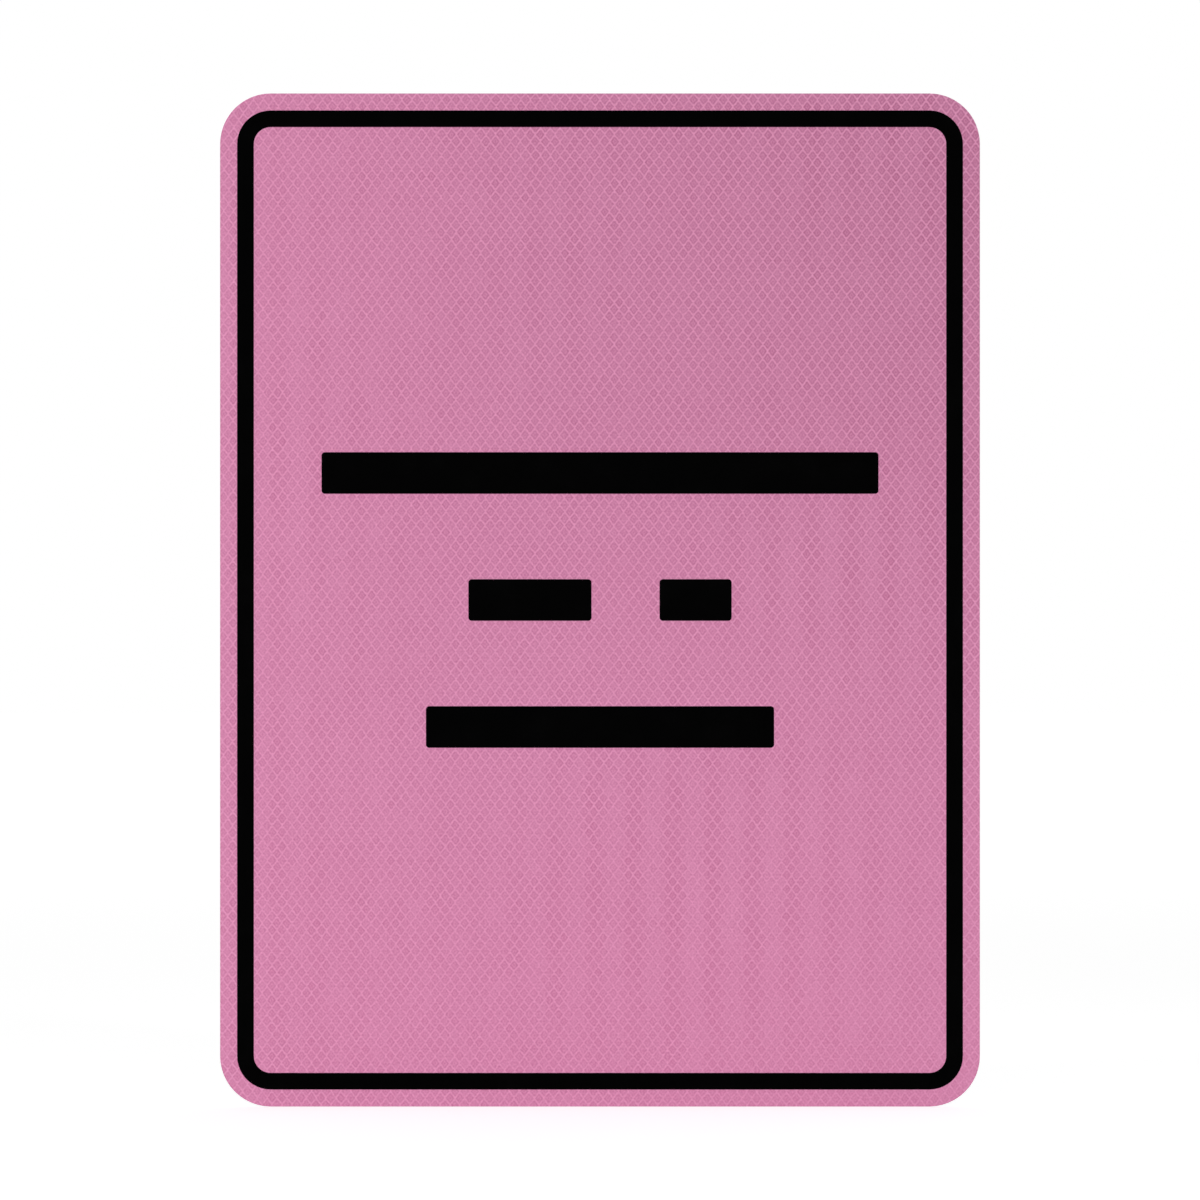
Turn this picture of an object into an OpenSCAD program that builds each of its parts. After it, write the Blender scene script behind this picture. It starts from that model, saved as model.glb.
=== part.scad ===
// A flat upright road sign: an aluminium plate with round corners, faced with pink
// reflective sheeting, with a black border stripe and black message bars of cut film.
// It stands in the XZ plane with the front towards -Y and +Z up. The origin is the
// middle of the plate's bare back face. Lengths are in millimetres.

/* [Panel] */
// Width of the sign
panel_w = 457.2; // [420:0.1:620]
// Height of the sign
panel_h = 609.6; // [520:0.1:820]
// Radius of the sign's four corners
corner_r = 30.5; // [12:0.1:60]
// Thickness of the aluminium plate
plate_t = 2.03; // [1:0.01:4]
// Width of the bevel that takes the burr off the plate's back edge
back_bevel = 0.4; // [0.1:0.05:0.8]

/* [Sheeting] */
// Thickness of the reflective sheeting
sheeting_t = 0.4; // [0.2:0.05:1]
// How far the sheeting is trimmed back from the plate's edge
sheeting_trim = 0.1; // [0:0.05:2]

/* [Black film] */
// Thickness of the film that the border stripe and the bars are cut from
film_t = 0.1; // [0.05:0.01:0.3]
// Distance from the sign's edge to the border stripe
border_margin = 10.3; // [4:0.1:14]
// Width of the border stripe
border_w = 10; // [4:0.1:14]

/* [Message bars] */
// Height of every bar
bar_h = 25; // [12:0.5:50]
// Radius of the bars' corners
bar_r = 2; // [0.5:0.1:5]
// Distance from the middle of one row of bars to the middle of the next
row_pitch = 76.4; // [60:0.1:100]
// Width of the bar in the top row
top_bar_w = 335; // [100:0.1:350]
// Width of the left bar in the middle row
middle_left_w = 74; // [20:0.1:150]
// Width of the right bar in the middle row
middle_right_w = 43.3; // [20:0.1:150]
// Gap between the two bars in the middle row
middle_gap = 41; // [5:0.1:50]
// Width of the bar in the bottom row
bottom_bar_w = 209.4; // [60:0.1:350]

/* [Hidden] */
$fn = 96;

// The smallest radius that a scissor-cut corner of sheeting or film keeps
least_r = 1;
// How far the border stripe's inner edge lies from the sign's edge
border_reach = border_margin + border_w;
// How far the sheeting's face lies in front of the back face
sheeting_face = plate_t + sheeting_t;
// The middle row's full width, from the left bar's left end to the right bar's right end
middle_row_w = middle_left_w + middle_gap + middle_right_w;

film_black = [0.03, 0.03, 0.03];
sheeting_pink = [0.82, 0.53, 0.67];
plate_grey = [0.75, 0.76, 0.77];

// The corner radius of an outline that runs inset millimetres inside the sign's edge,
// about the same centre as the sign's own corner
function inset_r(inset) = max(least_r, corner_r - inset);

// Stands a flat piece up, with its underside depth millimetres in front of the back face
module standing(depth)
    translate([0, -depth, 0])
        rotate([90, 0, 0])
            children();

// A filled rectangle about the origin with round corners
module round_rectangle(w, h, r) {
    square([w - 2 * r, h], center = true);
    square([w, h - 2 * r], center = true);
    for (side = [-1, 1], end = [-1, 1])
        translate([side * (w / 2 - r), end * (h / 2 - r)])
            circle(r = r);
}

// The sign's outline, drawn inset millimetres inside its edge
module sign_outline(inset)
    round_rectangle(panel_w - 2 * inset, panel_h - 2 * inset, inset_r(inset));

// The plate's section from its middle out to reach: square in front, bevelled behind
module plate_section(reach)
    polygon([
        [0, 0],
        [reach - back_bevel, 0],
        [reach, back_bevel],
        [reach, plate_t],
        [0, plate_t]
    ]);

// Both halves of that section, carried length millimetres along Y
module plate_run(reach, length)
    rotate([90, 0, 0])
        linear_extrude(height = length, center = true) {
            plate_section(reach);
            mirror([1, 0]) plate_section(reach);
        }

module sign_plate()
    color(plate_grey)
        standing(0) {
            plate_run(panel_w / 2, panel_h - 2 * corner_r);
            rotate([0, 0, 90]) plate_run(panel_h / 2, panel_w - 2 * corner_r);
            for (side = [-1, 1], end = [-1, 1])
                translate([side * (panel_w / 2 - corner_r), end * (panel_h / 2 - corner_r), 0])
                    rotate_extrude() plate_section(corner_r);
        }

module reflective_sheeting()
    color(sheeting_pink)
        standing(plate_t)
            linear_extrude(height = sheeting_t)
                sign_outline(sheeting_trim);

module border_stripe()
    color(film_black)
        standing(sheeting_face)
            linear_extrude(height = film_t)
                difference() {
                    sign_outline(border_margin);
                    sign_outline(border_reach);
                }

// One bar of film with its middle at x across the sign and z above the sign's middle
module message_bar(w, x, z)
    color(film_black)
        standing(sheeting_face)
            translate([x, z, 0])
                linear_extrude(height = film_t)
                    round_rectangle(w, bar_h, bar_r);

module message_bar_top()
    message_bar(top_bar_w, 0, row_pitch);

module message_bar_middle_left()
    message_bar(middle_left_w, (middle_left_w - middle_row_w) / 2, 0);

module message_bar_middle_right()
    message_bar(middle_right_w, (middle_row_w - middle_right_w) / 2, 0);

module message_bar_bottom()
    message_bar(bottom_bar_w, 0, -row_pitch);

sign_plate();
reflective_sheeting();
border_stripe();
message_bar_top();
message_bar_middle_left();
message_bar_middle_right();
message_bar_bottom();
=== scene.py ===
"""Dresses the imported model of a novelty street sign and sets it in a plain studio.

The sign is an aluminium plate faced with pink prismatic sheeting, with a black border
stripe and four black bars of cut film. It stands in the XZ plane with its front towards
-Y, and the origin is the middle of the plate's bare back. The sheeting is modelled here
with its diamond net of seal lines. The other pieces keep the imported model's shapes.
"""

import logging
import math
from dataclasses import dataclass
from enum import Enum
from typing import Any, Mapping, Optional, Union

import bpy
import numpy as np
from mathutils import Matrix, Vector


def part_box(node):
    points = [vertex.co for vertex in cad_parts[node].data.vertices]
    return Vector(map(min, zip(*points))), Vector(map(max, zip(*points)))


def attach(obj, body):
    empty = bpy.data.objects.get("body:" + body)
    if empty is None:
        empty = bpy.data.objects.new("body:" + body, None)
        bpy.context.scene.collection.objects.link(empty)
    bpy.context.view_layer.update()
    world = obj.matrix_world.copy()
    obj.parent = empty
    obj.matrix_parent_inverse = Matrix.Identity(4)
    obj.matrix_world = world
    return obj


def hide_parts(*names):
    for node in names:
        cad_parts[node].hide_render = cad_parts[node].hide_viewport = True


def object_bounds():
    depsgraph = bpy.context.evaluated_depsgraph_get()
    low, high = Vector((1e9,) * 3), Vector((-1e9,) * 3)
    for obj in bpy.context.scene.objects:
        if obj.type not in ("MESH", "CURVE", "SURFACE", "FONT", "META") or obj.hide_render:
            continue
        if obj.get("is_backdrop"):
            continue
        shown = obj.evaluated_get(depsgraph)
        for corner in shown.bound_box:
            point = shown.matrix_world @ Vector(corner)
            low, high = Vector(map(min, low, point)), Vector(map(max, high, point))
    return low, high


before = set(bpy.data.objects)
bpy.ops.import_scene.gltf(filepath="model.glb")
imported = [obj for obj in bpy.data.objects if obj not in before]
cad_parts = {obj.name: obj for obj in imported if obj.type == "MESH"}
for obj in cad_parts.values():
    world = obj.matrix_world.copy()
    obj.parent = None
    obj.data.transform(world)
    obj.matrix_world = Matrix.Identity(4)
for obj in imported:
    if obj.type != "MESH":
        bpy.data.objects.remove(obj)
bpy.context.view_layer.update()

LOG = logging.getLogger("street_sign")
BODY = "root"
MM = 0.001

Array = np.ndarray
Light = tuple[float, float, float, float]
Point = tuple[float, float, float]
Number = Union[float, "Value"]

NO_LIGHT: Light = (0.0, 0.0, 0.0, 1.0)
WHITE_LIGHT: Light = (1.0, 1.0, 1.0, 1.0)


class Node(Enum):
    """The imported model's pieces, by their names in it."""

    PLATE = "sign_plate"
    SHEETING = "reflective_sheeting"
    BORDER = "border_stripe"
    TOP_BAR = "message_bar_top"
    MIDDLE_LEFT_BAR = "message_bar_middle_left"
    MIDDLE_RIGHT_BAR = "message_bar_middle_right"
    BOTTOM_BAR = "message_bar_bottom"


class Slot(Enum):
    """The record's material slots."""

    PLATE = "plate"
    SHEETING = "sheeting"
    BLACK_FILM = "black_film"


class Grain(Enum):
    """The way that a rolled sheet's grain runs."""

    UPRIGHT = "upright"
    ACROSS = "across"


class LampKind(Enum):
    """The kinds of lamp in the studio."""

    PANEL = "AREA"
    SPOT = "SPOT"


class Value:
    """A number at a socket of a shader. A sum done with it adds a Math node."""

    def __init__(self, graph: "Graph", socket: bpy.types.NodeSocket) -> None:
        """Wraps a socket.

        Args:
            graph: The shader that the socket is in.
            socket: The output that gives the number.
        """
        self.graph = graph
        self.socket = socket

    def __add__(self, other: Number) -> "Value":
        """This number plus another."""
        return self.graph.math("ADD", self, other)

    def __radd__(self, other: Number) -> "Value":
        """Another number plus this one."""
        return self.graph.math("ADD", other, self)

    def __sub__(self, other: Number) -> "Value":
        """This number less another."""
        return self.graph.math("SUBTRACT", self, other)

    def __rsub__(self, other: Number) -> "Value":
        """Another number less this one."""
        return self.graph.math("SUBTRACT", other, self)

    def __mul__(self, other: Number) -> "Value":
        """This number times another."""
        return self.graph.math("MULTIPLY", self, other)

    def __rmul__(self, other: Number) -> "Value":
        """Another number times this one."""
        return self.graph.math("MULTIPLY", other, self)

    def __truediv__(self, other: Number) -> "Value":
        """This number over another."""
        return self.graph.math("DIVIDE", self, other)

    def __rtruediv__(self, other: Number) -> "Value":
        """Another number over this one."""
        return self.graph.math("DIVIDE", other, self)

    def __pow__(self, other: Number) -> "Value":
        """This number to a power."""
        return self.graph.math("POWER", self, other)

    def __mod__(self, other: Number) -> "Value":
        """What is left of this number after whole steps of another, from 0 up to the step."""
        return self.graph.math("FLOORED_MODULO", self, other)

    def __abs__(self) -> "Value":
        """This number without its sign."""
        return self.graph.math("ABSOLUTE", self)

    def floor(self) -> "Value":
        """The whole number at or below this one."""
        return self.graph.math("FLOOR", self)

    def cosine(self) -> "Value":
        """The cosine of this angle in radians."""
        return self.graph.math("COSINE", self)

    def least(self, other: Number) -> "Value":
        """The smaller of this number and another."""
        return self.graph.math("MINIMUM", self, other)

    def most(self, other: Number) -> "Value":
        """The larger of this number and another."""
        return self.graph.math("MAXIMUM", self, other)

    def is_near(self, other: Number, reach: float) -> "Value":
        """1 where this number lies within reach of another, and 0 elsewhere."""
        return self.graph.math("COMPARE", self, other, reach)

    def rise(self, low: float, high: float) -> "Value":
        """A smooth step over this number.

        Args:
            low: The number up to which the step is 0.
            high: The number from which it is 1.

        Returns:
            The step.
        """
        step = self.graph.node(
            "ShaderNodeMapRange",
            {"interpolation_type": "SMOOTHSTEP"},
            {"Value": self, "From Min": low, "From Max": high},
        )
        return Value(self.graph, step.outputs["Result"])


class Graph:
    """The nodes of one material or of the world's light."""

    def __init__(self, owner: Union[bpy.types.Material, bpy.types.World]) -> None:
        """Starts with no nodes.

        Args:
            owner: The new material or world.
        """
        owner.use_nodes = True
        self.owner = owner
        self.tree = owner.node_tree
        self.tree.nodes.clear()

    def node(
        self,
        kind: str,
        settings: Optional[Mapping[str, Any]] = None,
        values: Optional[Mapping[Union[int, str], Any]] = None,
    ) -> bpy.types.Node:
        """Adds one node.

        Args:
            kind: The node's type.
            settings: The node's own settings, which are made first.
            values: What its inputs get, by name or number: a constant, a socket or a Value.

        Returns:
            The new node.
        """
        made = self.tree.nodes.new(kind)
        for name, setting in (settings or {}).items():
            setattr(made, name, setting)
        for name, value in (values or {}).items():
            source = value.socket if isinstance(value, Value) else value
            if isinstance(source, bpy.types.NodeSocket):
                self.tree.links.new(source, made.inputs[name])
            else:
                made.inputs[name].default_value = source
        return made

    def math(self, operation: str, *terms: Number) -> Value:
        """Adds one Math node.

        Args:
            operation: What the node does.
            terms: Its inputs, in order.

        Returns:
            The node's result.
        """
        made = self.node("ShaderNodeMath", {"operation": operation}, dict(enumerate(terms)))
        return Value(self, made.outputs[0])

    def place(self) -> tuple[bpy.types.NodeSocket, Value, Value, Value]:
        """The shaded point's place on the sign, in metres.

        Returns:
            The place as a vector, and its x, y and z.
        """
        point = self.node("ShaderNodeTexCoord").outputs["Object"]
        parts = self.node("ShaderNodeSeparateXYZ", None, {0: point}).outputs
        return point, Value(self, parts[0]), Value(self, parts[1]), Value(self, parts[2])

    def vector(self, x: Number, y: Number, z: Number) -> bpy.types.NodeSocket:
        """Three numbers as one vector."""
        return self.node("ShaderNodeCombineXYZ", None, {0: x, 1: y, 2: z}).outputs[0]

    def stretched(self, point: bpy.types.NodeSocket, scale: Point) -> bpy.types.NodeSocket:
        """A place with each of its parts multiplied."""
        values = {0: point, 1: scale}
        return self.node("ShaderNodeVectorMath", {"operation": "MULTIPLY"}, values).outputs[0]

    def noise(self, point: bpy.types.NodeSocket, scale: float, detail: float) -> Value:
        """Soft noise about 0.

        Args:
            point: The place that it is read at.
            scale: How many swells there are in a metre.
            detail: How many finer layers it has.

        Returns:
            The noise, mostly from -0.25 to 0.25.
        """
        values = {"Vector": point, "Scale": scale, "Detail": detail}
        made = self.node("ShaderNodeTexNoise", None, values)
        return Value(self, made.outputs[0]) - 0.5

    def chance(self, x: Number, y: Number) -> Value:
        """A fixed random number for each pair of whole numbers.

        Args:
            x: The first whole number.
            y: The second.

        Returns:
            The random number, from -0.5 to 0.5.
        """
        values = {"Vector": self.vector(x, y, 0.0)}
        made = self.node("ShaderNodeTexWhiteNoise", {"noise_dimensions": "2D"}, values)
        return Value(self, made.outputs["Value"]) - 0.5

    def blend(self, share: Number, first: Any, second: Any) -> bpy.types.NodeSocket:
        """A colour between two others.

        Args:
            share: How much of the second there is, from 0 to 1.
            first: The colour at 0, as linear light or a socket.
            second: The colour at 1.

        Returns:
            The mixed colour.
        """
        mix = self.node("ShaderNodeMix", {"data_type": "RGBA"}, {0: share, 6: first, 7: second})
        return mix.outputs[2]

    def relief(self, height: Value) -> bpy.types.NodeSocket:
        """The face's direction under a relief whose height is in metres."""
        values = {"Height": height, "Strength": 1.0, "Distance": 1.0}
        return self.node("ShaderNodeBump", None, values).outputs[0]

    def finish(self, values: Mapping[str, Any]) -> bpy.types.Material:
        """Ends a material in a Principled shader.

        Args:
            values: What the shader's inputs get.

        Returns:
            The finished material.
        """
        shader = self.node("ShaderNodeBsdfPrincipled", None, values)
        self.node("ShaderNodeOutputMaterial", None, {"Surface": shader.outputs[0]})
        return self.owner


@dataclass(frozen=True)
class Tone:
    """A colour as a screen shows it, each channel from 0 to 255."""

    red: float
    green: float
    blue: float

    def light(self) -> Light:
        """The colour's linear light.

        Returns:
            Red, green, blue and full cover.
        """
        shares = [channel / 255 for channel in (self.red, self.green, self.blue)]
        red, green, blue = (
            share / 12.92 if share <= 0.04045 else ((share + 0.055) / 1.055) ** 2.4
            for share in shares
        )
        return red, green, blue, 1.0


@dataclass(frozen=True)
class Mottle:
    """Soft noise about 0: its swells in a metre, its size and its finer layers."""

    scale: float
    size: float
    layers: float = 3.0

    def at(self, graph: Graph, point: bpy.types.NodeSocket) -> Value:
        """The noise at a place, mostly within a quarter of its size to either side of 0."""
        return graph.noise(point, self.scale, self.layers) * self.size


@dataclass(frozen=True)
class Outline:
    """A rectangle about the sign's middle with round corners, in metres."""

    half_w: float
    half_h: float
    corner_r: float
    flats: int = 96

    def sides(self) -> tuple[Array, Array]:
        """The straight edges that bound the outline, of which each corner has a quarter.

        An edge's normal stands at an even step of the full turn. Its distance from the
        middle is the arc's radius, plus the half width and half height less that radius,
        times the size of the angle's cosine and sine.

        Returns:
            The normals in the XZ plane, one a row, and the distances.
        """
        angle = np.arange(self.flats) * 2 * math.pi / self.flats
        normal = np.stack([np.cos(angle), np.sin(angle)], axis=1)
        core = np.array([self.half_w - self.corner_r, self.half_h - self.corner_r])
        return normal, np.abs(normal) @ core + self.corner_r

    def inset(self, x: Value, z: Value) -> Value:
        """How far a point lies inside the outline, in metres.

        It is the radius, less the distance out from the rectangle of the arcs' centres,
        or plus the distance to that rectangle's nearest side for a point in it.

        Args:
            x: The point's place across the sign.
            z: The point's place up the sign.

        Returns:
            The distance to the edge, below 0 outside it.
        """
        over_x = abs(x) - (self.half_w - self.corner_r)
        over_z = abs(z) - (self.half_h - self.corner_r)
        outside = (over_x.most(0.0) ** 2.0 + over_z.most(0.0) ** 2.0) ** 0.5
        return self.corner_r - outside - over_x.most(over_z).least(0.0)


@dataclass(frozen=True)
class Lattice:
    """The diamond net of the sheeting's seal lines, in metres.

    Places in it are counted in half diagonals of a diamond: half columns across and half
    rows up. Two lines cross where their sum is even, and a diamond's middle lies where it
    is odd.
    """

    diamond_w: float = 5.952 * MM
    diamond_h: float = 8.402 * MM
    line_w: float = 1.0 * MM
    crossing_x: float = 2.398 * MM
    crossing_z: float = 2.686 * MM
    tilt: float = math.radians(-0.08)
    tip_cut: float = 0.63

    @property
    def spacing(self) -> float:
        """The distance between two neighbouring lines of one family."""
        return self.diamond_w * self.diamond_h / math.hypot(self.diamond_w, self.diamond_h)

    @property
    def pad(self) -> float:
        """How much of a diamond's half diagonal lies inside its seal lines."""
        return 1 - self.line_w / self.spacing

    def points(self, column: Array, row: Array, depth: Array) -> Array:
        """Places in the net as points of the sign.

        The point is the crossing's own place plus as many half diagonals as counted, turned
        by the tilt about the sign's middle.

        Args:
            column: Half columns from the crossing.
            row: Half rows from the crossing.
            depth: The points' y.

        Returns:
            The points, one a row.
        """
        x = self.crossing_x + column * self.diamond_w / 2
        z = self.crossing_z + row * self.diamond_h / 2
        turn, rise = math.cos(self.tilt), math.sin(self.tilt)
        return np.stack([x * turn - z * rise, depth + 0 * x, x * rise + z * turn], axis=-1)

    def steps(self, x: Value, z: Value) -> tuple[Value, Value]:
        """How many lines of each family lie between a crossing and a point.

        Args:
            x: The point's place across the sign.
            z: The point's place up the sign.

        Returns:
            The steps up to the right, and those down to the right.
        """
        turn, rise = math.cos(self.tilt), math.sin(self.tilt)
        across = (x * turn + z * rise - self.crossing_x) / self.diamond_w
        up = (z * turn - x * rise - self.crossing_z) / self.diamond_h
        return across + up, across - up


@dataclass(frozen=True)
class Patch:
    """An oval stretch of the face with soft edges, in millimetres.

    In it the columns of diamonds part into lighter and darker groups.
    """

    x: float
    z: float
    reach_x: float
    reach_z: float
    strength: float

    def weight(self, x: Value, z: Value) -> Value:
        """The strength at a point.

        It falls off as the square of 1 less the squared distance, in reaches.

        Args:
            x: The point's place across the sign, in metres.
            z: Its place up the sign, in metres.

        Returns:
            The full strength at the middle, and 0 past the reach.
        """
        far_x = (x - self.x * MM) / (self.reach_x * MM)
        far_z = (z - self.z * MM) / (self.reach_z * MM)
        near = (1 - far_x * far_x - far_z * far_z).most(0.0)
        return near * near * self.strength


@dataclass(frozen=True)
class DiamondMasks:
    """Where a shaded point lies in its diamond of the net."""

    line: Value
    tip: Value
    corner: Value
    rim: Value
    inside: Value
    middle: Value
    column: Value
    row: Value


@dataclass(frozen=True)
class SealLines:
    """How the net's lines and the diamonds between them show, with widths in millimetres."""

    line_core: float = 0.0
    line_edge: float = 0.3
    rim_start: float = 0.4
    rim_full: float = 0.68
    rim_fade: float = 0.94
    rim_end: float = 2.2
    dot_start: float = 1.8
    dot_full: float = 1.96
    corner_start: float = 0.54
    corner_full: float = 0.74

    def masks(self, graph: Graph, lattice: Lattice, x: Value, z: Value) -> DiamondMasks:
        """Splits each diamond into its line, tips, corners, rim, inside and middle.

        The gap is the distance to the nearest line's middle. Filled is the same distance,
        cut short near the diamond's upper and lower tips, which the seal fills, and the rim
        keeps to it. The corners are the blunt ones at the diamond's left and right, less
        the crossings themselves.

        Args:
            graph: The shader that the masks are for. It is not used.
            lattice: The net of seal lines.
            x: The point's place across the sign.
            z: The point's place up the sign.

        Returns:
            The masks, with the half column and half row of the point's diamond.
        """
        first, second = lattice.steps(x, z)
        first_whole = first.floor()
        second_whole = second.floor()
        rightward = first - first_whole - 0.5
        leftward = second - second_whole - 0.5
        spacing = lattice.spacing / MM
        gap = (0.5 - abs(rightward).most(abs(leftward))) * spacing
        tip = (lattice.tip_cut - abs(rightward - leftward)) * lattice.diamond_h / (2 * MM)
        filled = gap.least(tip + lattice.line_w / (2 * MM))
        rim = filled.rise(self.rim_start, self.rim_full)
        open_face = gap.rise(self.line_core, self.line_edge)
        blunt = abs(rightward + leftward)
        corner = blunt.rise(self.corner_start, self.corner_full)
        return DiamondMasks(
            line=1 - open_face,
            tip=open_face - filled.rise(self.line_core, self.line_edge),
            corner=corner * open_face,
            rim=rim * (1 - filled.rise(self.rim_fade, self.rim_end)),
            inside=rim,
            middle=gap.rise(self.dot_start, self.dot_full),
            column=first_whole + second_whole,
            row=first_whole - second_whole,
        )


@dataclass(frozen=True)
class SheetingFinish:
    """Pink prismatic film under a satin face. Tones are steps of a screen's 255 levels.

    The colour runs from deep, at the tone deepest, to pale, at the tone palest. The net as
    it shows wavers a little about its true place.
    """

    deep: Tone = Tone(184.6, 96.0, 138.1)
    pale: Tone = Tone(235.1, 160.0, 198.6)
    deepest: float = -24.0
    palest: float = 28.0
    line_tone: float = 10.2
    tip_tone: float = 5.2
    corner_tone: float = -6.2
    face_tone: float = 4.9
    rim_tone: float = -12.6
    middle_tone: float = -11.0
    column_tone: float = 1.25
    seam_tone: float = 1.2
    mark_tone: float = 1.8
    diamond_tone: float = 2.2
    diamond_contrast: float = 0.6
    contrast_up: float = 0.82
    contrast_right: float = 0.42
    contrast_skew: float = 3.6
    tile_columns: int = 8
    tile_rows: int = 6
    light_column: int = 1
    seam_column: int = 3
    mark_row: int = 9
    group_edge: float = 1.4
    mark_edge: float = 0.6
    waver_x: Mottle = Mottle(110.0, 1.1 * MM, 1.0)
    waver_z: Mottle = Mottle(125.0, 1.1 * MM, 1.0)
    line_fade: Mottle = Mottle(90.0, 0.9)
    inner_fade: Mottle = Mottle(70.0, 1.1)
    clouds: Mottle = Mottle(14.0, 5.0)
    grain: Mottle = Mottle(850.0, 25.0, 0.0)
    peel: Mottle = Mottle(420.0, 4e-3 * MM, 2.0)
    gloss: Mottle = Mottle(60.0, 0.08)
    roughness: float = 0.34
    line_roughness: float = 0.05
    shine: float = 0.5
    patches: tuple[Patch, ...] = (
        Patch(x=-235, z=0, reach_x=170, reach_z=900, strength=1.3),
        Patch(x=-170, z=85, reach_x=70, reach_z=60, strength=1.0),
        Patch(x=60, z=-175, reach_x=175, reach_z=170, strength=2.4),
        Patch(x=150, z=24, reach_x=140, reach_z=130, strength=-2.5),
        Patch(x=-30, z=215, reach_x=105, reach_z=150, strength=-1.5),
        Patch(x=165, z=270, reach_x=125, reach_z=110, strength=-2.2),
    )

    def column_tones(self, masks: DiamondMasks, x: Value, z: Value) -> Value:
        """The tones that run down whole columns of diamonds.

        The columns take turns in two groups of four half columns, which part in tone by the
        patches' strength. The seam between two tiles of the embossing is paler everywhere.

        Args:
            masks: Where the shaded point lies in its diamond.
            x: The point's place across the sign.
            z: The point's place up the sign.

        Returns:
            The tone.
        """
        strength: Number = 0.0
        for patch in self.patches:
            strength = strength + patch.weight(x, z)
        turn = (masks.column - self.light_column) * (2 * math.pi / self.tile_columns)
        group = (turn.cosine() * self.group_edge).least(1.0).most(-1.0)
        seam = (masks.column % self.tile_columns).is_near(self.seam_column, 0.5)
        return group * strength * self.column_tone + seam * self.seam_tone

    def mark(self, masks: DiamondMasks) -> Value:
        """The paler diamonds that mark the embossing's tiles, on a staggered grid.

        The product of a cosine along the columns and one along the rows is 1 on the grid's
        points, which lie a tile apart across and three quarters of that up.

        Args:
            masks: Where the shaded point lies in its diamond.

        Returns:
            1 on a mark, and 0 away from it.
        """
        across = ((masks.column - self.light_column) * (math.pi / self.tile_columns)).cosine()
        up = ((masks.row - self.mark_row) * (math.pi / self.tile_rows)).cosine()
        return (across * up).rise(self.mark_edge, 1.0)

    def net_tones(
        self, graph: Graph, point: bpy.types.NodeSocket, masks: DiamondMasks, x: Value, z: Value
    ) -> Value:
        """The tones of the seal lines and of what lies between them.

        Their contrast is 1 at the sign's middle and changes evenly up the sign and to the
        right, with a skew by the product of the two. It also wavers from place to place,
        and inside the lines from diamond to diamond.

        Args:
            graph: The shader that they are for.
            point: The shaded point.
            masks: Where it lies in its diamond.
            x: Its place across the sign.
            z: Its place up the sign.

        Returns:
            The tone.
        """
        seal = masks.line * self.line_tone + masks.tip * self.tip_tone
        inner = masks.rim * self.rim_tone + masks.middle * self.middle_tone + self.face_tone
        each = graph.chance(masks.column, masks.row) * self.diamond_contrast
        tone = seal * (1 + self.line_fade.at(graph, point))
        tone = tone + inner * (1 + each + self.inner_fade.at(graph, point))
        tone = tone + masks.corner * self.corner_tone
        skew = x * z * self.contrast_skew
        return tone * (1 + z * self.contrast_up + x * self.contrast_right + skew)

    def material(self, lattice: Lattice) -> bpy.types.Material:
        """Builds the sheeting's material.

        Args:
            lattice: The net of seal lines.

        Returns:
            The material.
        """
        graph = Graph(bpy.data.materials.new("pink_prismatic_sheeting"))
        point, x, _, z = graph.place()
        moved_x = x + self.waver_x.at(graph, point)
        moved_z = z + self.waver_z.at(graph, point)
        masks = SealLines().masks(graph, lattice, moved_x, moved_z)
        own = graph.chance(masks.row, masks.column) * self.diamond_tone
        own = own + self.column_tones(masks, x, z) + self.mark(masks) * self.mark_tone
        tone = self.net_tones(graph, point, masks, x, z) + masks.inside * own
        tone = tone + self.clouds.at(graph, point) + self.grain.at(graph, point)
        share = (tone - self.deepest) / (self.palest - self.deepest)
        rough = self.roughness + masks.line * self.line_roughness + self.gloss.at(graph, point)
        return graph.finish(
            {
                "Base Color": graph.blend(share, self.deep.light(), self.pale.light()),
                "Roughness": rough,
                "Specular IOR Level": self.shine,
                "Normal": graph.relief(self.peel.at(graph, point)),
            }
        )


@dataclass(frozen=True)
class BlackFilmFinish:
    """Opaque black cut film, which follows the net below it a little."""

    black: Tone = Tone(0.4, 0.4, 0.5)
    worn: Tone = Tone(2.4, 2.4, 2.6)
    haze: Mottle = Mottle(45.0, 1.0, 4.0)
    dust: Mottle = Mottle(900.0, 0.6, 2.0)
    worn_from: float = -0.1
    worn_to: float = 0.35
    peel: Mottle = Mottle(500.0, 5e-3 * MM, 2.0)
    net_depth: float = 6e-3 * MM
    roughness: float = 0.42
    haze_roughness: float = 0.12
    shine: float = 0.012

    def material(self, lattice: Lattice) -> bpy.types.Material:
        """Builds the film's material.

        Args:
            lattice: The net of seal lines that shows through as a slight relief.

        Returns:
            The material.
        """
        graph = Graph(bpy.data.materials.new("black_cut_film"))
        point, x, _, z = graph.place()
        masks = SealLines().masks(graph, lattice, x, z)
        haze = self.haze.at(graph, point) + self.dust.at(graph, point)
        worn = haze.rise(self.worn_from, self.worn_to)
        height = self.peel.at(graph, point) - masks.line * self.net_depth
        return graph.finish(
            {
                "Base Color": graph.blend(worn, self.black.light(), self.worn.light()),
                "Roughness": self.roughness + haze * self.haze_roughness,
                "Specular IOR Level": self.shine,
                "Normal": graph.relief(height),
            }
        )


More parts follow.
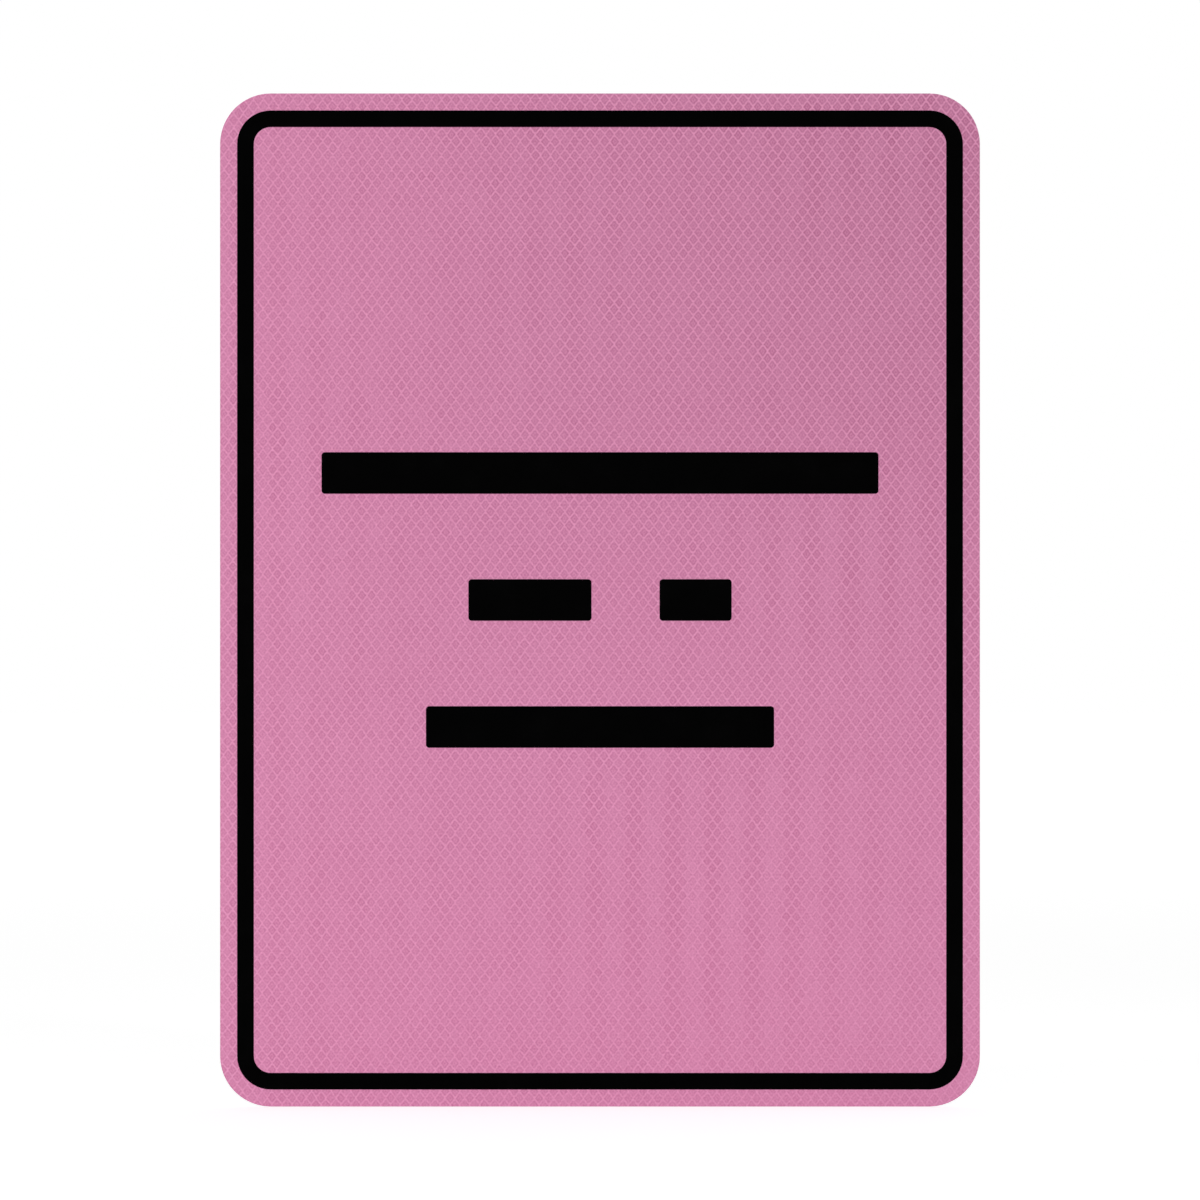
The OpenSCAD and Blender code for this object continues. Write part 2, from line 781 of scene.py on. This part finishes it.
@dataclass(frozen=True)
class Streak:
    """A streak along a sheet's grain, and what it does to the metal where it is strongest."""

    width: float
    length: float
    dullness: float = 0.0
    roughness: float = 0.0
    height: float = 0.0
    layers: float = 3.0

    def at(self, graph: Graph, point: bpy.types.NodeSocket, grain: Grain) -> Value:
        """Noise drawn out along the grain.

        Args:
            graph: The shader that it is for.
            point: The place that it is read at.
            grain: The way that the grain runs.

        Returns:
            The noise about 0.
        """
        fine, drawn = 1 / self.width, 1 / self.length
        upright = grain is Grain.UPRIGHT
        scale = (fine, fine, drawn) if upright else (drawn, fine, fine)
        return graph.noise(graph.stretched(point, scale), 1.0, self.layers)


@dataclass(frozen=True)
class AluminiumFinish:
    """Mill-finished aluminium sheet, with a rolling grain, light scuffs and sheared edges."""

    grain: Grain = Grain.UPRIGHT
    metal: Tone = Tone(208.0, 210.0, 213.0)
    dull: Tone = Tone(180.0, 182.0, 187.0)
    dullness: float = 0.45
    roughness: float = 0.36
    line: Streak = Streak(0.35 * MM, 90 * MM, dullness=0.9, roughness=0.16, height=5e-3 * MM)
    band: Streak = Streak(14 * MM, 900 * MM, dullness=0.7)
    scuff: Streak = Streak(1.5 * MM, 25 * MM, roughness=0.1, height=-3e-3 * MM)
    scuff_from: float = 0.2
    scuff_to: float = 0.3
    cloud: Mottle = Mottle(9.0, 0.4, 4.0)
    cloud_roughness: float = 0.15
    edge_w: float = 0.5 * MM
    edge_dullness: float = -0.5
    edge_roughness: float = -0.08

    def material(self, outline: Outline) -> bpy.types.Material:
        """Builds the plate's material.

        Args:
            outline: The plate's outline, whose edge is brighter where it was sheared.

        Returns:
            The material.
        """
        graph = Graph(bpy.data.materials.new("mill_aluminium"))
        point, x, _, z = graph.place()
        line = self.line.at(graph, point, self.grain)
        band = self.band.at(graph, point, self.grain)
        scuff = self.scuff.at(graph, point, self.grain).rise(self.scuff_from, self.scuff_to)
        cloud = self.cloud.at(graph, point)
        edge = 1 - outline.inset(x, z).rise(0.0, self.edge_w)
        dull = self.dullness + line * self.line.dullness + band * self.band.dullness
        dull = (dull + cloud + edge * self.edge_dullness).rise(0.0, 1.0)
        rough = self.roughness + line * self.line.roughness + scuff * self.scuff.roughness
        rough = rough + cloud * self.cloud_roughness + edge * self.edge_roughness
        height = line * self.line.height + scuff * self.scuff.height
        return graph.finish(
            {
                "Base Color": graph.blend(dull, self.metal.light(), self.dull.light()),
                "Metallic": 1.0,
                "Roughness": rough,
                "Normal": graph.relief(height),
            }
        )


def put_on(piece: bpy.types.Object, material: bpy.types.Material) -> None:
    """Gives a piece one material in every slot that it has.

    Args:
        piece: The piece to dress.
        material: Its new material.
    """
    if not piece.material_slots:
        piece.data.materials.append(material)
    for slot in piece.material_slots:
        slot.material = material


def cut(
    points: Array, faces: Array, normal: Array, reach: float, hair: float = 1e-9
) -> tuple[Array, Array]:
    """Cuts a mesh of triangles off along a plane and keeps what lies behind it.

    A point's height over the plane is its dot product with the normal, less the reach. A
    crossed edge gets a new point, which divides it in the ratio of its ends' heights. A
    triangle that keeps one corner is a smaller triangle. One that keeps two is a
    four-sided rest, which becomes two triangles.

    Args:
        points: The points, one a row.
        faces: The triangles, as three point numbers a row.
        normal: The plane's normal.
        reach: The plane's distance from the origin.
        hair: The height up to which a point still counts as on the plane.

    Returns:
        The points with the new ones at the end, and the triangles that are left.
    """
    height = points @ normal - reach
    out = height > hair
    outs = out[faces].sum(axis=1)
    order = np.arange(3)

    def led_by(some: Array, first: Array) -> Array:
        """Turns each row of some so that the corner that first marks comes first."""
        start = first.argmax(axis=1)[:, None]
        return some[np.arange(len(some))[:, None], (start + order) % 3]

    tips = faces[outs == 2]
    tips = led_by(tips, ~out[tips])
    rests = faces[outs == 1]
    rests = led_by(rests, out[rests])
    crossed = np.concatenate([tips[:, [0, 1]], tips[:, [0, 2]], rests[:, [0, 1]], rests[:, [0, 2]]])
    edges, which = np.unique(np.sort(crossed, axis=1), axis=0, return_inverse=True)
    start, end = height[edges[:, 0]], height[edges[:, 1]]
    share = (start / (start - end))[:, None]
    new_points = points[edges[:, 0]] * (1 - share) + points[edges[:, 1]] * share
    new = which.ravel() + len(points)
    tip_b, tip_c, rest_b, rest_c = np.split(new, np.cumsum([len(tips), len(tips), len(rests)]))
    made = [
        faces[outs == 0],
        np.stack([tips[:, 0], tip_b, tip_c], axis=1),
        np.stack([rest_b, rests[:, 1], rests[:, 2]], axis=1),
        np.stack([rest_b, rests[:, 2], rest_c], axis=1),
    ]
    return np.concatenate([points, new_points]), np.concatenate(made)


def weld(points: Array, faces: Array, step: float = 1e-7) -> tuple[Array, Array]:
    """Joins points at one place, and drops flat triangles and unused points.

    Args:
        points: The points, one a row.
        faces: The triangles, as three point numbers a row.
        step: Points that round to the same step are at one place.

    Returns:
        The points and triangles that are left.
    """
    used, faces = np.unique(faces, return_inverse=True)
    points, faces = points[used], faces.reshape(-1, 3)
    _, first, same = np.unique(
        np.round(points / step), axis=0, return_index=True, return_inverse=True
    )
    faces = same.ravel()[faces]
    whole = (faces != np.roll(faces, 1, axis=1)).all(axis=1)
    return points[first], faces[whole]


@dataclass
class ReflectiveSheeting:
    """The prismatic film on the plate's front, with a low pillow in each diamond.

    The sizes are in metres, and those of its bake map are shares of the picture. The net
    runs on past the outline by a few spare half columns and rows, which are cut off.
    """

    corner_r: float = 30.4 * MM
    valley: float = 0.018 * MM
    pillow_edge: float = 0.004 * MM
    spare: int = 4
    sharp_angle: float = math.radians(30)
    face_margin: float = 0.004
    face_width: float = 0.9
    side_strip: tuple[float, float] = (0.918, 0.93)
    back_left: float = 0.94
    back_width: float = 0.055

    def __post_init__(self) -> None:
        """Takes the film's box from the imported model."""
        self.low, self.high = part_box(Node.SHEETING.value)
        self.lattice = Lattice()
        self.outline = Outline(self.high.x, self.high.z, self.corner_r)

    def pillows(self) -> tuple[Array, Array]:
        """The film's face, as a net of seal lines with a pillow in each diamond.

        A diamond has its four corners on the crossings, deepest. Inside them stand six
        points where the pillow starts: two on its level diagonal and four that cut its
        upper and lower tips. In its middle is the pillow's highest point.

        Returns:
            The points and triangles, past the outline on all sides.
        """
        net = self.lattice
        most_column = int(2 * self.high.x / net.diamond_w) + self.spare
        most_row = int(2 * self.high.z / net.diamond_h) + self.spare
        columns = np.arange(-most_column, most_column + 1)
        rows = np.arange(-most_row, most_row + 1)
        column, row = np.meshgrid(columns, rows, indexing="ij")
        number = np.arange(column.size).reshape(column.shape)
        middle = (column + row) % 2 != 0
        middle[[0, -1], :] = False
        middle[:, [0, -1]] = False
        at = np.nonzero(middle)
        face = self.low.y
        crossings = net.points(column.ravel(), row.ravel(), face + self.valley)
        side = net.pad - net.tip_cut
        ring = np.array(
            [
                (-net.pad, 0.0),
                (-side, -net.tip_cut),
                (side, -net.tip_cut),
                (net.pad, 0.0),
                (side, net.tip_cut),
                (-side, net.tip_cut),
            ]
        )
        own_column = column[at][:, None]
        own_row = row[at][:, None]
        rim = net.points(own_column + ring[:, 0], own_row + ring[:, 1], face + self.pillow_edge)
        crown = net.points(column[at], row[at], face)
        left = number[at[0] - 1, at[1]]
        bottom = number[at[0], at[1] - 1]
        right = number[at[0] + 1, at[1]]
        top = number[at[0], at[1] + 1]
        count = len(crown)
        rims = len(crossings) + np.arange(count * len(ring)).reshape(count, -1)
        crowns = len(crossings) + rims.size + np.arange(count)
        far_left, low_left, low_right, far_right, high_right, high_left = rims.T
        slopes = [
            (left, bottom, low_left),
            (left, low_left, far_left),
            (bottom, low_right, low_left),
            (bottom, right, far_right),
            (bottom, far_right, low_right),
            (right, top, high_right),
            (right, high_right, far_right),
            (top, high_left, high_right),
            (top, left, far_left),
            (top, far_left, high_left),
        ]
        tops = [(crowns, *edge) for edge in zip(rims.T, np.roll(rims, -1, axis=1).T)]
        faces = np.stack([np.stack(corners, axis=1) for corners in slopes + tops], axis=1)
        points = np.concatenate([crossings, rim.reshape(-1, 3), crown])
        return points, faces.reshape(-1, 3)

    def solid(self) -> tuple[Array, Array, Array]:
        """The film as a closed solid.

        The net is cut off along each of the outline's sides. Every edge that then belongs
        to one triangle is carried straight back to the plate, and the back is a fan from
        its middle to those edges.

        Returns:
            The points, the triangles, and how many triangles the face, the side and the
            back have.
        """
        points, faces = self.pillows()
        for normal, reach in zip(*self.outline.sides()):
            points, faces = cut(points, faces, np.array([normal[0], 0.0, normal[1]]), reach)
        points, faces = weld(points, faces)
        edges = np.concatenate([faces[:, [0, 1]], faces[:, [1, 2]], faces[:, [2, 0]]])
        _, which, times = np.unique(
            np.sort(edges, axis=1), axis=0, return_inverse=True, return_counts=True
        )
        start, end = edges[times[which.ravel()] == 1].T
        rim, rim_start = np.unique(start, return_inverse=True)
        rim_end = np.searchsorted(rim, end)
        back = points[rim].copy()
        back[:, 1] = self.high.y
        back_start = len(points) + rim_start.ravel()
        back_end = len(points) + rim_end
        hub = np.full(len(start), len(points) + len(rim))
        side = np.concatenate(
            [
                np.stack([end, start, back_start], axis=1),
                np.stack([end, back_start, back_end], axis=1),
            ]
        )
        fan = np.stack([back_end, back_start, hub], axis=1)
        points = np.concatenate([points, back, [[0.0, self.high.y, 0.0]]])
        counts = np.array([len(faces), len(side), len(fan)])
        return points, np.concatenate([faces, side, fan]), counts

    def bake_map(self, points: Array, faces: Array, counts: Array) -> Array:
        """Where each corner of each triangle lies on the picture of the film's finish.

        The face fills the picture's height and most of its width, so it is drawn out across.
        The side is wound round the turn in a narrow strip, and the back is small, at the
        right.

        Args:
            points: The points, one a row.
            faces: The triangles, as three point numbers a row.
            counts: How many triangles the face, the side and the back have.

        Returns:
            The places on the picture, one row for each triangle's corner.
        """
        corner = points[faces]
        size = self.high - self.low
        wide = self.face_width / size.x
        tall = (1 - 2 * self.face_margin) / size.z
        across = (corner[..., 0] - self.low.x) * wide + self.face_margin
        up = (corner[..., 2] - self.low.z) * tall + self.face_margin
        side = slice(counts[0], counts[0] + counts[1])
        back = slice(counts[0] + counts[1], None)
        depth = (corner[side, :, 1] - self.low.y) / size.y
        turn = np.arctan2(corner[side, :, 2], corner[side, :, 0]) / (2 * math.pi) + 0.5
        ahead = turn.max(axis=1, keepdims=True) - turn > 0.5
        across[side] = self.side_strip[0] + depth * (self.side_strip[1] - self.side_strip[0])
        up[side] = np.where(ahead, 1.0, turn)
        small = self.back_width / size.x
        across[back] = (corner[back, :, 0] - self.low.x) * small + self.back_left
        up[back] = (corner[back, :, 2] - self.low.z) * small + self.face_margin
        return np.stack([across, up], axis=-1).reshape(-1, 2)

    def build(self) -> bpy.types.Object:
        """Makes the film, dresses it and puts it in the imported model's place.

        Returns:
            The finished piece.
        """
        points, faces, counts = self.solid()
        mesh = bpy.data.meshes.new("prismatic_sheeting")
        mesh.from_pydata(points.tolist(), [], faces.tolist())
        layer = mesh.uv_layers.new(name="OFBake")
        places = self.bake_map(points, faces, counts)
        layer.data.foreach_set("uv", places.astype(np.float32).ravel())
        mesh.polygons.foreach_set("use_smooth", np.ones(len(faces), dtype=bool))
        mesh.set_sharp_from_angle(angle=self.sharp_angle)
        mesh.update()
        piece = bpy.data.objects.new("prismatic_sheeting", mesh)
        bpy.context.scene.collection.objects.link(piece)
        put_on(piece, SheetingFinish().material(self.lattice))
        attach(piece, BODY)
        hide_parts(Node.SHEETING.value)
        LOG.info("prismatic sheeting: %d triangles", len(faces))
        return piece


@dataclass
class SignPlate:
    """The aluminium blank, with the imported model's shape."""

    corner_r: float = 30.5 * MM

    def dress(self) -> bpy.types.Object:
        """Gives the plate its rolled metal.

        Returns:
            The plate.
        """
        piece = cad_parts[Node.PLATE.value]
        _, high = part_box(Node.PLATE.value)
        outline = Outline(high.x, high.z, self.corner_r)
        put_on(piece, AluminiumFinish().material(outline))
        LOG.info("sign plate: %.1f by %.1f mm", 2 * high.x / MM, 2 * high.z / MM)
        return piece


@dataclass
class CutFilm:
    """The border stripe and the bars of black film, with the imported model's shapes."""

    lattice: Lattice
    nodes: tuple[Node, ...] = (
        Node.BORDER,
        Node.TOP_BAR,
        Node.MIDDLE_LEFT_BAR,
        Node.MIDDLE_RIGHT_BAR,
        Node.BOTTOM_BAR,
    )

    def dress(self) -> None:
        """Gives every piece of film the one black finish."""
        material = BlackFilmFinish().material(self.lattice)
        for node in self.nodes:
            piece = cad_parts[node.value]
            put_on(piece, material)
            LOG.info("black film: %s", node.value)


@dataclass(frozen=True)
class Lamp:
    """One lamp of the studio, in metres and watts."""

    name: str
    kind: LampKind
    place: Point
    aim: Point
    power: float
    width: float
    cone: float = 0.0

    def build(self) -> bpy.types.Object:
        """Hangs the lamp in its place, where no reflection shows it.

        Returns:
            The lamp.
        """
        data = bpy.data.lights.new(self.name, self.kind.value)
        data.energy = self.power
        if self.kind is LampKind.PANEL:
            data.shape = "DISK"
            data.size = self.width
        else:
            data.shadow_soft_size = self.width / 2
            data.spot_size = self.cone
            data.spot_blend = 1.0
        lamp = bpy.data.objects.new(self.name, data)
        lamp.location = self.place
        way = Vector(self.aim) - Vector(self.place)
        lamp.rotation_euler = way.to_track_quat("-Z", "Y").to_euler()
        lamp.visible_glossy = False
        bpy.context.scene.collection.objects.link(lamp)
        return lamp


@dataclass(frozen=True)
class Studio:
    """A pale floor that runs out to white, soft lamps and the camera."""

    floor_r: float = 14.0
    floor_rings: int = 24
    floor_spokes: int = 64
    floor_light: float = 0.8
    near_glow: float = 0.55
    far_glow: float = 0.58
    glow_start: float = 1.2
    glow_end: float = 4.0
    ambient: float = 0.536
    picture_w: float = 0.7219
    lens: float = 200.0
    sensor: float = 36.0
    sight: float = 100.0
    lamps: tuple[Lamp, ...] = (
        Lamp(
            "left_panel",
            LampKind.PANEL,
            place=(-1.7, -1.2, -0.14),
            aim=(2.8, 0.0, -0.14),
            power=27.2,
            width=0.3,
        ),
        Lamp(
            "right_spot",
            LampKind.SPOT,
            place=(1.43, -1.7, 0.2),
            aim=(0.4, 0.0, -0.5),
            power=42.0,
            width=0.2,
            cone=math.radians(41),
        ),
    )

    def floor(self) -> bpy.types.Object:
        """The floor at the sign's lowest edge, as rings round the sign.

        A point lies at its ring's radius, which grows with the square of the ring's
        number, and at its spoke's angle.

        Returns:
            The floor.
        """
        low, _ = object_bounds()
        ring, spoke = np.meshgrid(
            np.arange(1, self.floor_rings + 1), np.arange(self.floor_spokes), indexing="ij"
        )
        radius = self.floor_r * (ring / self.floor_rings) ** 2
        angle = spoke * 2 * math.pi / self.floor_spokes
        points = np.stack([radius * np.cos(angle), radius * np.sin(angle), 0 * radius + low.z], -1)
        points = np.concatenate([points.reshape(-1, 3), [[0.0, 0.0, low.z]]])
        number = ring[:-1] * self.floor_spokes + spoke[:-1]
        aside = ring[:-1] * self.floor_spokes + (spoke[:-1] + 1) % self.floor_spokes
        inner, inner_aside = number - self.floor_spokes, aside - self.floor_spokes
        quads = np.stack([inner, number, aside, inner_aside], axis=-1).reshape(-1, 4)
        first = np.arange(self.floor_spokes)
        hub = np.full(self.floor_spokes, len(points) - 1)
        fan = np.stack([hub, first, (first + 1) % self.floor_spokes], axis=-1)
        mesh = bpy.data.meshes.new("studio_floor")
        mesh.from_pydata(points.tolist(), [], quads.tolist() + fan.tolist())
        floor = bpy.data.objects.new("studio_floor", mesh)
        bpy.context.scene.collection.objects.link(floor)
        put_on(floor, self.floor_material())
        floor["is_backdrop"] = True
        return floor

    def floor_material(self) -> bpy.types.Material:
        """A pale floor that glows for the camera, more so far out, so that it ends in white.

        Returns:
            The material.
        """
        graph = Graph(bpy.data.materials.new("pale_floor"))
        _, x, y, _ = graph.place()
        seen = self.seen(graph)
        far = ((x * x + y * y) ** 0.5).rise(self.glow_start, self.glow_end)
        glow = seen * (self.near_glow + far * (self.far_glow - self.near_glow))
        return graph.finish(
            {
                "Base Color": (self.floor_light, self.floor_light, self.floor_light, 1.0),
                "Roughness": 1.0,
                "Specular IOR Level": 0.0,
                "Emission Color": graph.blend(glow, NO_LIGHT, WHITE_LIGHT),
                "Emission Strength": 1.0,
            }
        )

    def seen(self, graph: Graph) -> Value:
        """Tells the light that a picture shows from the light that falls on the sign.

        Args:
            graph: The shader that asks.

        Returns:
            1 for what the camera, a reflection or a clear piece sees, and 0 for other light.
        """
        path = graph.node("ShaderNodeLightPath").outputs
        camera, gloss, clear = (
            Value(graph, path[name])
            for name in ("Is Camera Ray", "Is Glossy Ray", "Is Transmission Ray")
        )
        return camera.most(gloss).most(clear)

    def world(self) -> None:
        """Surrounds the sign with even light and a white background."""
        world = bpy.data.worlds.new("studio_light")
        graph = Graph(world)
        strength = self.ambient + self.seen(graph) * (1 - self.ambient)
        values = {"Color": WHITE_LIGHT, "Strength": strength}
        light = graph.node("ShaderNodeBackground", None, values)
        graph.node("ShaderNodeOutputWorld", None, {"Surface": light.outputs[0]})
        bpy.context.scene.world = world

    def camera(self) -> bpy.types.Object:
        """Sets the camera straight in front of the sign.

        Its distance makes the picture as wide as picture_w at the sign's face.

        Returns:
            The camera.
        """
        low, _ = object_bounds()
        data = bpy.data.cameras.new("camera")
        data.lens = self.lens
        data.sensor_width = self.sensor
        data.clip_end = self.sight
        camera = bpy.data.objects.new("camera", data)
        camera.location = (0.0, low.y - self.picture_w * self.lens / self.sensor, 0.0)
        camera.rotation_euler = (math.radians(90), 0.0, 0.0)
        bpy.context.scene.collection.objects.link(camera)
        bpy.context.scene.camera = camera
        return camera

    def build(self) -> None:
        """Sets up the whole studio."""
        self.camera()
        self.world()
        self.floor()
        for lamp in self.lamps:
            lamp.build()
        bpy.context.scene.view_settings.view_transform = "Standard"
        LOG.info("studio: %d lamps", len(self.lamps))


def main() -> None:
    """Builds the studio and dresses every piece of the sign."""
    logging.basicConfig(level=logging.INFO, format="%(message)s")
    Studio().build()
    SignPlate().dress()
    sheeting = ReflectiveSheeting()
    sheeting.build()
    CutFilm(sheeting.lattice).dress()


if __name__ == "__main__":
    main()
